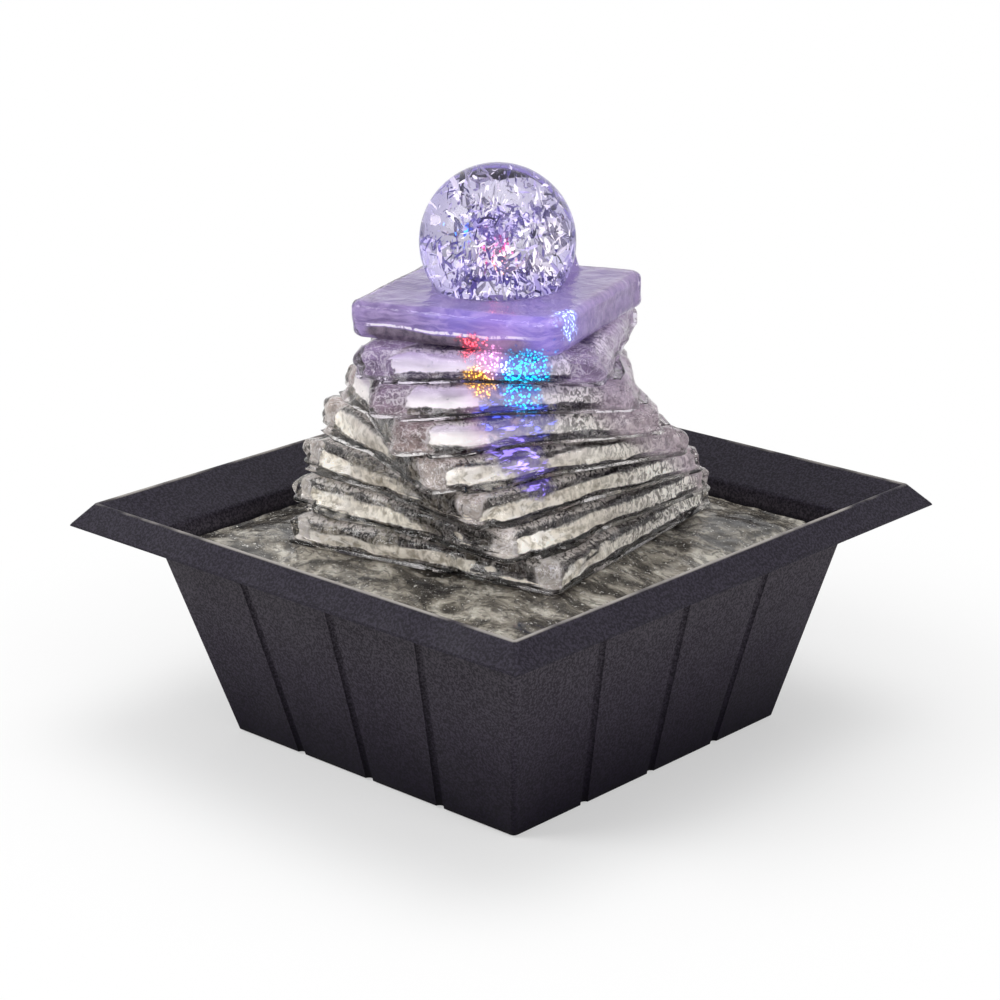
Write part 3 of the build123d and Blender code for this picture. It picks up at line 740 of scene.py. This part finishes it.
# %% [markdown]
# ## Slabs
# Seven slabs climb from the plate. Each is narrower than the one below and turned clockwise against it, so
# their corners make a spiral stair. A slab's place comes from its solid, and the rule for its width and turn
# is the maker's own. Each slab gets its clear skin and its heart. Melting ice runs down and freezes again at
# its foot, so the foot of each riser spreads outwards where the slab below offers a tread.

# %% Slabs
SLAB_T = 9.75
SEAT_GAP = 0.05     # left free above and below, so that no two slabs share a face
SLAB_TURNS = (11.5, 0.0, -9.0, -21.5, -33.5, -44.5, -56.5)
SLAB_HALF = 51.0
SLAB_STEP = 2.0
CORE_R = 17.0
FLARE = 1.2         # added to half a side before melting
SKIN_T = 2.4        # clear skin on risers
TREAD_T = 0.7       # and on treads
FOOT_RUN = 5.0      # furthest that a foot spreads
FOOT_H = 5.0        # and up to this height
TREAD_KEPT = 4.0    # part of the tread below that stays bare
SLAB_CORNER_R = 5.0
HEART_CORNER_R = 4.0
SLAB_EDGES = (5.5, 4.2, 0.9)    # run and height of the upper edge, then the lower edge
HEART_EDGES = (4.5, 3.6, 0.9)
SLAB_MELT = {
    "Wave_depth": 2.4 * MM, "Wave_length": 15 * MM,
    "Ripple_depth": 0.4 * MM, "Ripple_length": 6 * MM,
    "Chip_depth": 1.8 * MM, "Chip_size": 6 * MM,
}


def side_reach(angle, half, turn):
    """Distance from the axis to the side of a turned square, by angle."""
    return half / np.max(np.abs([np.cos(angle - radians(turn)), np.sin(angle - radians(turn))]), 0)


def spread_foot(slab, low, half, turn, below_half, below_turn):
    """Let the foot of a riser flow outwards where the slab below offers a tread to lie on."""
    mesh = slab.data
    points = np.empty(3 * len(mesh.vertices))
    mesh.vertices.foreach_get("co", points)
    points = points.reshape(-1, 3)
    angle = np.arctan2(points[:, 1], points[:, 0])
    own = side_reach(angle, half, turn)
    tread = side_reach(angle, below_half, below_turn) - own - TREAD_KEPT
    radius = np.hypot(points[:, 0], points[:, 1]) / MM
    fall = np.clip(1 - (points[:, 2] / MM - low) / FOOT_H, 0, 1) ** 2
    push = np.clip(tread, 0, FOOT_RUN) * fall * np.clip((radius - 0.8 * own) / (0.15 * own), 0, 1)
    points[:, :2] *= (1 + push / np.maximum(radius, 1.0))[:, None]
    mesh.vertices.foreach_set("co", points.ravel())


slabs = []
for k, turn in enumerate(SLAB_TURNS):
    name = f"ice_slab_{k + 1}"
    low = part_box(name)[0].z / MM
    half = SLAB_HALF - SLAB_STEP * k + FLARE
    thick = SLAB_T - 2 * SEAT_GAP
    rows = slab_rows(half, CORE_R, thick, *SLAB_EDGES)
    slab = ring_piece(name + "_melted", half, SLAB_CORNER_R, rows, turn, low + SEAT_GAP)
    heart_half = half - SKIN_T
    rows = slab_rows(heart_half, CORE_R + SKIN_T, thick - 2 * TREAD_T, *HEART_EDGES)
    heart = ring_piece(name + "_heart", heart_half, HEART_CORNER_R, rows, turn, low + SEAT_GAP + TREAD_T)
    for piece, material in ((slab, clear_skin), (heart, slab_resin)):
        if k:
            spread_foot(piece, low, half, turn, half + SLAB_STEP, SLAB_TURNS[k - 1])
        run_tree(piece, melt, Seed=float(k), Material=material, **SLAB_MELT)
        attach(piece, "ice_stack")
    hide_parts(name)
    slabs.append(slab)
print("slabs:", len(slabs), "faces each:", len(slabs[0].data.polygons))

# %% [markdown]
# ## Cap
# The cap is thicker and smoother than the slabs. A bowl in its top holds the ball in a film of water, a hole
# in the bowl lets the jet through, and a small nub behind the ball keeps it from rolling off. Under the ball
# there is hardly any resin, so the heart ends in a wider hole there.

# %% Cap
BALL_R = 25.0
SEAT_R = BALL_R + 0.3
CAP_T = 12.0
CAP_HALF = 36.7
CAP_TURN = -71.0
CAP_SLOPE = 3.0
CAP_TOP_R = 2.4
CAP_LOW_R = 3.0
CAP_SKIN = 1.4
CAP_TOP_SKIN = 1.0
JET_R = 4.5
HEART_BORE = 8.6
NUB_AT = 29.4 * np.exp(1j * radians(85.0))
NUB_SLOPE = 3.4
BOWL_ROWS = 16
CAP_MELT = {
    "Wave_depth": 0.7 * MM, "Wave_length": 22 * MM,
    "Ripple_depth": 0.25 * MM, "Ripple_length": 7 * MM,
    "Chip_depth": 1.2 * MM, "Chip_size": 8 * MM,
}
cap_z, nub_top = (corner.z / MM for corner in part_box("ice_cap"))
ball_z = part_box("crackle_ball")[1].z / MM - BALL_R
NUB_H = nub_top - cap_z - CAP_T


def cap_shell(name, half, corner, low, thick, seat, bore, nub_r, material):
    """Closed shell of the cap: bowl from the jet's hole to its rim, top, riser, underside, then the nub."""
    rim = (seat ** 2 - (ball_z - low - thick) ** 2) ** 0.5
    rows = []
    for k in range(BOWL_ROWS):
        radius = bore + (rim - bore) * k / BOWL_ROWS
        rows.append((half - radius, ball_z - (seat ** 2 - radius ** 2) ** 0.5 - low, 1, 2.0, 0))
    rows += [row for row in slab_rows(half, rim, thick, CAP_SLOPE, CAP_TOP_R, CAP_LOW_R) if row[1] > 0]
    for k in range(UNDER_ROWS + 1):
        inset = CAP_LOW_R + (half - bore - CAP_LOW_R) * k / UNDER_ROWS
        rows.append((inset, 0, ease(inset, 4, 24), -k / UNDER_ROWS, 0))
    shell = ring_piece(name, half, corner, rows, CAP_TURN, low)
    for vertex in shell.data.vertices:
        if vertex.co.z > (low + thick - 1.0) * MM:
            gap = abs(complex(vertex.co.x, vertex.co.y) / MM - NUB_AT)
            vertex.co.z += NUB_H * MM * ease(-gap, -nub_r, NUB_SLOPE - nub_r)
    run_tree(shell, melt, Seed=9.0, Material=material, **CAP_MELT)
    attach(shell, "ice_stack")
    return shell


cap = cap_shell("ice_cap_melted", CAP_HALF, 6.0, cap_z, CAP_T, SEAT_R, JET_R, 5.0, clear_skin)
cap_shell("ice_cap_heart", CAP_HALF - CAP_SKIN, 5.0, cap_z + TREAD_T, CAP_T - TREAD_T - CAP_TOP_SKIN,
          SEAT_R + CAP_TOP_SKIN, HEART_BORE, 3.6, cap_resin)
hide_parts("ice_cap")
print("cap faces:", len(cap.data.polygons))

# %% [markdown]
# ## Plate
# The plate is the melted pool that the ice stands in. Its middle is level, its margin falls towards the
# basin's wall so that the water drains there, and its skin ripples.

# %% Plate
plate_low, plate_high = (corner.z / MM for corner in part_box("ice_plate"))
PLATE_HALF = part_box("ice_plate")[1].x / MM
PLATE_T = plate_high - plate_low
PLATE_CORNER_R = 12.0
MARGIN = 20.0
DROP = 3.5
EDGE_R = 1.8
LOW_EDGE = 0.6
PLATE_ROWS = 64
RIM_ROWS = 5
PLATE_UNDER_ROWS = 6
PLATE_ROUND = (24, 56)    # insets between which the rings turn from square to round
PLATE_MELT = {
    "Wave_depth": 1.4 * MM, "Wave_length": 15 * MM,
    "Ripple_depth": 0.5 * MM, "Ripple_length": 5 * MM,
    "Chip_depth": 0.0, "Chip_size": 8 * MM,
}
rows = []
for k in range(PLATE_ROWS, 0, -1):
    inset = EDGE_R + (PLATE_HALF - CORE_R - EDGE_R) * k / PLATE_ROWS
    height = PLATE_T - DROP * (1 - min(1, inset / MARGIN))
    softness = ease(PLATE_HALF - inset, CORE_R, CORE_R + 8)
    rows.append((inset, height, ease(inset, *PLATE_ROUND), 1 + inset / 10, softness))
edge_low = PLATE_T - DROP * (1 - EDGE_R / MARGIN) - EDGE_R
for k in range(RIM_ROWS + 1):
    a = pi / 2 * (1 - k / RIM_ROWS)
    rows.append((EDGE_R - EDGE_R * cos(a), edge_low + EDGE_R * sin(a), 0, 1 + EDGE_R / 10, 1 - k / RIM_ROWS))
rows.append((0, LOW_EDGE, 0, 0.5, 0))
for k in range(PLATE_UNDER_ROWS + 1):
    inset = LOW_EDGE + (PLATE_HALF - CORE_R - LOW_EDGE) * k / PLATE_UNDER_ROWS
    rows.append((inset, 0, ease(inset, *PLATE_ROUND), -k / PLATE_UNDER_ROWS, 0))
plate = ring_piece("ice_plate_melted", PLATE_HALF, PLATE_CORNER_R, rows, 0.0, plate_low)
run_tree(plate, melt, Seed=20.0, Material=plate_resin, **PLATE_MELT)
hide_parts("ice_plate")
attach(plate, "ice_stack")
print("plate faces:", len(plate.data.polygons))

# %% [markdown]
# ## Crackled ball
# The ball is clear and was shocked in cold water while hot, which fills it with curved cracks. Each crack is
# a thin gap that mirrors light. So the ball is a smooth glass sphere, and a Geometry Nodes tree strews thin
# curved flakes through it. Their white or dark is painted reflection, drawn at random, and the brighter ones
# glow a little.

# %% Ball
BALL_AT = Vector((0, 0, ball_z * MM))
BALL_SPOTS = [
    ((0.4, -0.8, 163.0), 6.0, (paint(190, 60, 150), paint(255, 70, 140))),
    ((3.0, -3.0, 160.0), 3.0, (paint(240, 170, 120), paint(255, 206, 150))),
    ((-7.5, -6.2, 167.7), 5.0, (paint(70, 70, 210), paint(40, 150, 250))),
]
bpy.ops.mesh.primitive_uv_sphere_add(segments=128, ring_count=64, radius=BALL_R * MM, location=(0, 0, 0))
ball = bpy.context.object
ball.name = "crackle_ball_shell"
ball.data.transform(Matrix.Translation(BALL_AT))
ball.data.shade_smooth()
glass = Finish("Crackle glass", Roughness=0.0, IOR=1.3, Transmission_Weight=1.0)
rim = add(glass.tree, "ShaderNodeLayerWeight", {"Blend": 0.5}).outputs["Facing"]
glass.set(Base_Color=mix(rim, paint(232, 227, 246), paint(140, 125, 208)))
ball.data.materials.append(glass.material)
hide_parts("crackle_ball")
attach(ball, "ball")
print("ball faces:", len(ball.data.polygons))

# %% Flake finish
flake = Finish("Crack flake", Roughness=0.05, IOR=1.45, Specular_IOR_Level=0.9)
shade = add(flake.tree, "ShaderNodeAttribute", attribute_name="shade").outputs["Fac"]
zone = noise(flake.place, 13 * MM, 1.0)
# Each flake's random shade paints how bright its crack looks, from dark to a white flash.
cool = ramp(shade, (0.0, paint(72, 66, 112)), (0.16, paint(128, 118, 190)), (0.6, paint(168, 158, 208)),
            (0.92, paint(226, 221, 238)))
warm = ramp(shade, (0.0, paint(62, 62, 78)), (0.16, paint(142, 140, 152)), (0.55, paint(196, 193, 202)),
            (0.86, paint(250, 248, 240)))
colour = mix(span(zone, 0.42, 0.58), cool, warm)
# Painted light: the brighter flakes glow a little, since hardly any lamp light reaches them through the
# glass.
glint = mix(span(shade, 0.5, 0.95, 0.03, 0.19), BLACK, colour)
colour = lamp_grains(flake, colour, glint, BALL_SPOTS, [], 1.4 * MM)
flake.set(Base_Color=colour, Transmission_Weight=span(shade, 0.2, 0.9, 0.9, 0.5))
flake.count()

# %% Crack tree
shards, given, result = new_tree("Cracks", Count="Int", Reach="Float", Seed="Int", Material="Material")


def random(low, high, step, kind="FLOAT"):
    """One random value a flake; step keeps the draws apart."""
    seed = plus(given["Seed"], step) if step else given["Seed"]
    value = wire("FunctionNodeRandomValue", {"Seed": seed}, data_type=kind)
    least, largest = [s for s in value.inputs if s.enabled][:2]
    feed(least, low)
    feed(largest, high)
    return [s for s in value.outputs if s.enabled][0]


# Where each flake lies, denser towards the middle
way = move("NORMALIZE", random((-1, -1, -1), (1, 1, 1), 0, "FLOAT_VECTOR"))
out = times(calc("POWER", random(0.0, 1.0, 1), 0.45), given["Reach"])
spot = move("ADD", move("SCALE", way, out), tuple(BALL_AT))
points = wire("GeometryNodePoints", {"Count": given["Count"], "Position": spot}).outputs[0]

# A flat bead, tilted, and larger in some zones than in others
bead = add(shards, "GeometryNodeMeshUVSphere", {"Segments": 8, "Rings": 4, "Radius": 1.0 * MM})
tilt = random((0, 0, 0), (6.3, 6.3, 6.3), 2, "FLOAT_VECTOR")
size = random((0.25, 0.12, 0.04), (2.4, 0.7, 0.07), 3, "FLOAT_VECTOR")
crowd = wire("ShaderNodeTexNoise", {"Vector": spot, "Scale": 1 / (14 * MM), "Detail": 1.0}).outputs[0]
upper = span(axis(spot, "Z"), (ball_z + 4) * MM, (ball_z + 17) * MM, 1.0, 0.65)
size = move("SCALE", size, times(upper, span(crowd, 0.4, 0.54, 0.25, 1.25)))
strewn = wire("GeometryNodeInstanceOnPoints", {
    "Points": points, "Instance": bead.outputs["Mesh"], "Rotation": tilt, "Scale": size}).outputs[0]
strewn = wire("GeometryNodeStoreNamedAttribute", {
    "Geometry": strewn, "Name": "shade", "Value": random(0.0, 1.0, 4),
}, data_type="FLOAT", domain="INSTANCE").outputs[0]

# Bent, because a crack follows the strain in the glass
real = wire("GeometryNodeRealizeInstances", {0: strewn}).outputs[0]
where = add(shards, "GeometryNodeInputPosition").outputs[0]
bend = wire("ShaderNodeTexNoise", {"Vector": where, "Scale": 1 / (4 * MM)}).outputs["Color"]
bend = move("SCALE", move("SUBTRACT", bend, (0.5, 0.5, 0.5)), 2.4 * MM)
bent = wire("GeometryNodeSetPosition", {"Geometry": real, "Offset": bend}).outputs[0]
close_tree(bent, given["Material"], result)
cracks = bpy.data.objects.new("ball_cracks", bpy.data.meshes.new("ball_cracks"))
scene.collection.objects.link(cracks)
run_tree(cracks, shards, Count=2200, Reach=21.5 * MM, Seed=4, Material=flake.material)
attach(cracks, "ball")
print("crack flakes' faces:", len(cracks.data.polygons))

# %% [markdown]
# ## Water beads
# The pump wets the slabs, and small beads of water cling to risers and edges. A Geometry Nodes tree scatters
# them over all slabs at once. It reads the skin attribute, so that none grows in a joint or in the bore.

# %% Beads
water = Finish("Water bead", Roughness=0.0, IOR=1.33, Transmission_Weight=1.0)
tint = noise(water.place, 8 * MM, 1.0)
water.set(Base_Color=mix(tint, paint(236, 236, 242), WHITE))
wet = bpy.data.collections.new("Wet slabs")
for slab in slabs:
    wet.objects.link(slab)
dew, given, result = new_tree("Beads", Slabs="Collection", Density="Float", Smallest="Float", Largest="Float",
                              Seed="Int", Material="Material")
whole = wire("GeometryNodeCollectionInfo", {"Collection": given["Slabs"]}).outputs[0]
whole = wire("GeometryNodeRealizeInstances", {0: whole}).outputs[0]
rise = axis(stored(dew, "skin", "FLOAT_VECTOR"), "Y")
bare = times(span(rise, 0.05, 0.1), span(rise, 1.02, 1.06, 1.0, 0.0))
drops = wire("GeometryNodeDistributePointsOnFaces", {
    "Mesh": whole, "Density": times(bare, given["Density"]), "Seed": given["Seed"]}).outputs[0]
drop = add(dew, "GeometryNodeMeshUVSphere", {"Segments": 8, "Rings": 5, "Radius": 1.0}).outputs["Mesh"]
width = wire("FunctionNodeRandomValue", {
    2: given["Smallest"], 3: given["Largest"], "Seed": given["Seed"]}, data_type="FLOAT").outputs[1]
beads = wire("GeometryNodeInstanceOnPoints", {"Points": drops, "Instance": drop, "Scale": width})
close_tree(beads.outputs[0], given["Material"], result)
dewdrops = bpy.data.objects.new("water_beads", bpy.data.meshes.new("water_beads"))
scene.collection.objects.link(dewdrops)
run_tree(dewdrops, dew, Slabs=wet, Density=9000.0, Smallest=0.15 * MM, Largest=0.5 * MM, Seed=3,
         Material=water.material)
bpy.data.collections.remove(wet)
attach(dewdrops, "ice_stack")
print("bead faces:", len(dewdrops.data.polygons))

# %% [markdown]
# ## Moulded and rubber pieces
# The basin hides a small pump, a riser and a ring of lamps. They keep their solids, because a mould or a
# lathe gives just these shapes. Plastics and rubbers differ in colour, gloss and grain, so one helper makes
# them all: two close shades clouded together, a speckle of the mould's grain, and a bump of the same grain.


# %% Moulded finishes
def moulded(name, dark, light, gloss, grain_size, depth=0.04, **sockets):
    """Finish of a moulded piece: two screen colours, roughness, and the grain's size and depth in mm."""
    f = Finish(name, **sockets)
    cloud = noise(f.place, 9 * MM, 3.0)
    grain = noise(f.place, grain_size * MM, 2.0, 0.6)
    blend = plus(times(cloud, 0.6), times(grain, 0.4))
    f.set(Base_Color=mix(span(blend, 0.35, 0.65), paint(*dark), paint(*light)))
    f.set(Roughness=span(cloud, 0.3, 0.7, 0.85 * gloss, 1.15 * gloss))
    f.bump(grain, depth * MM, 0.6)
    return f.material


pump_plastic = moulded("Pump plastic", (30, 31, 33), (50, 51, 54), 0.45, 0.5)
soft_rubber = moulded("Bush rubber", (62, 62, 64), (86, 86, 88), 0.75, 0.4)
moulded_pieces = {
    "rubber_feet": moulded("Foot rubber", (34, 34, 35), (54, 54, 55), 0.85, 0.8, 0.08),
    "cable_grommet": moulded("Grommet rubber", (32, 32, 34), (48, 48, 50), 0.7, 0.6),
    "pump_housing": pump_plastic,
    "intake_cover": pump_plastic,
    "pump_back_plate": moulded("Potting resin", (20, 20, 22), (36, 36, 38), 0.14, 5.0, 0.2),
    "pump_shaft": moulded("Shaft ceramic", (232, 229, 222), (246, 244, 240), 0.15, 0.3, 0.01),
    "rear_shaft_bush": soft_rubber,
    "front_shaft_bush": soft_rubber,
    "nozzle_washer": soft_rubber,
    "rotor_magnet": moulded("Magnet ferrite", (62, 62, 66), (84, 83, 86), 0.5, 0.25, 0.06),
    "impeller": moulded("Impeller plastic", (226, 222, 212), (243, 240, 232), 0.28, 0.5),
    "flow_dial": moulded("Dial plastic", (166, 168, 173), (190, 192, 196), 0.42, 0.45),
    "suction_cups": moulded("Cup rubber", (84, 84, 88), (108, 108, 112), 0.5, 0.7),
    "jet_nozzle": moulded("Nozzle plastic", (216, 216, 216), (238, 238, 237), 0.3, 0.4),
    "light_tray": moulded("Tray plastic", (226, 226, 226), (244, 244, 243), 0.35, 0.5),
    "led_lead": moulded("Lead sheath", (28, 28, 29), (44, 44, 45), 0.6, 0.5),
    "lead_clips": moulded("Clip plastic", (190, 190, 190), (212, 212, 211), 0.4, 0.4),
    "riser_tube": moulded("Tube vinyl", (222, 230, 230), (240, 246, 246), 0.08, 4.0, 0.1,
                          Transmission_Weight=0.85, IOR=1.5),
    "light_lens": moulded("Lens plastic", (232, 232, 238), (250, 250, 252), 0.1, 2.0, 0.1,
                          Transmission_Weight=0.9, IOR=1.49),
}
for node, material in moulded_pieces.items():
    dress(node, material)
print("moulded pieces:", len(moulded_pieces))

# %% [markdown]
# ## Metal, circuit board and lamps
# The stator is a stack of thin steel sheets and the coil is enamelled copper wire, so both are striped, at
# the pitch of the sheets and of the wire. The board is green laminate with copper tracks, and each lamp is a
# coloured dome that shines, brighter towards its tip.


# %% Striped metals
def striped(name, dark, light, pitch, direction, gloss):
    """Metal in thin layers: fine stripes across one axis, in mm, with a little play in the shade."""
    f = Finish(name, Metallic=1.0)
    along = measure("DOT_PRODUCT", f.place, direction)
    layer = calc("SINE", times(along, 2 * pi / (pitch * MM)))
    play = noise(f.place, 3 * MM, 2.0)
    shade = plus(times(layer, 0.3), play)
    f.set(Base_Color=mix(span(shade, 0.2, 0.8), paint(*dark), paint(*light)))
    f.set(Roughness=span(play, 0.3, 0.7, 0.8 * gloss, 1.2 * gloss))
    f.bump(layer, 0.1 * MM, 0.7)
    return f.material


dress("stator_core", striped("Core steel", (128, 128, 132), (190, 190, 194), 0.5, (0, 1, 0), 0.35))
dress("pump_coil", striped("Coil copper", (150, 78, 44), (222, 136, 84), 0.45, (1, 0, 0), 0.3))

# %% Circuit board and lamps
TRACK_PITCH = 1.6 * MM
board = Finish("Board laminate", Roughness=0.3)
radius = measure("LENGTH", move("MULTIPLY", board.place, (1, 1, 0)))
track = span(calc("SINE", times(radius, 2 * pi / TRACK_PITCH)), 0.3, 0.6)
cloth = noise(board.place, 0.4 * MM, 2.0)
green = mix(span(cloth, 0.35, 0.65), paint(24, 92, 52), paint(38, 116, 68))
board.set(Base_Color=mix(times(track, 0.8), green, paint(96, 150, 84)))
board.bump(track, 0.04 * MM, 0.5)
dress("light_board", board.material)
board.count()

DOME_LIGHT = 1.6
lamp_low, lamp_high = (corner.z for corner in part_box("red_leds"))
for node, deep, bright in (
    ("red_leds", paint(190, 24, 20), paint(255, 96, 70)),
    ("blue_leds", paint(24, 60, 214), paint(120, 190, 255)),
    ("amber_leds", paint(226, 132, 24), paint(255, 208, 110)),
):
    f = Finish("Lit dome of " + node, Roughness=0.15, Emission_Strength=DOME_LIGHT)
    glow = mix(span(axis(f.place, "Z"), lamp_low, lamp_high), deep, bright)
    mottle = span(noise(f.place, 1.2 * MM, 2.0), 0.3, 0.7, 0.6, 1.0)
    f.set(Base_Color=glow, Emission_Color=mix(mottle, BLACK, glow))
    dress(node, f.material)


# %% Nothing left bare
def finished(obj):
    """Whether each material of a solid is made of nodes."""
    return all(material and material.use_nodes for material in obj.data.materials)


shown = {name: obj for name, obj in solids.items() if not obj.hide_render}
print("solids without a finish:", [name for name, obj in shown.items() if not finished(obj)])
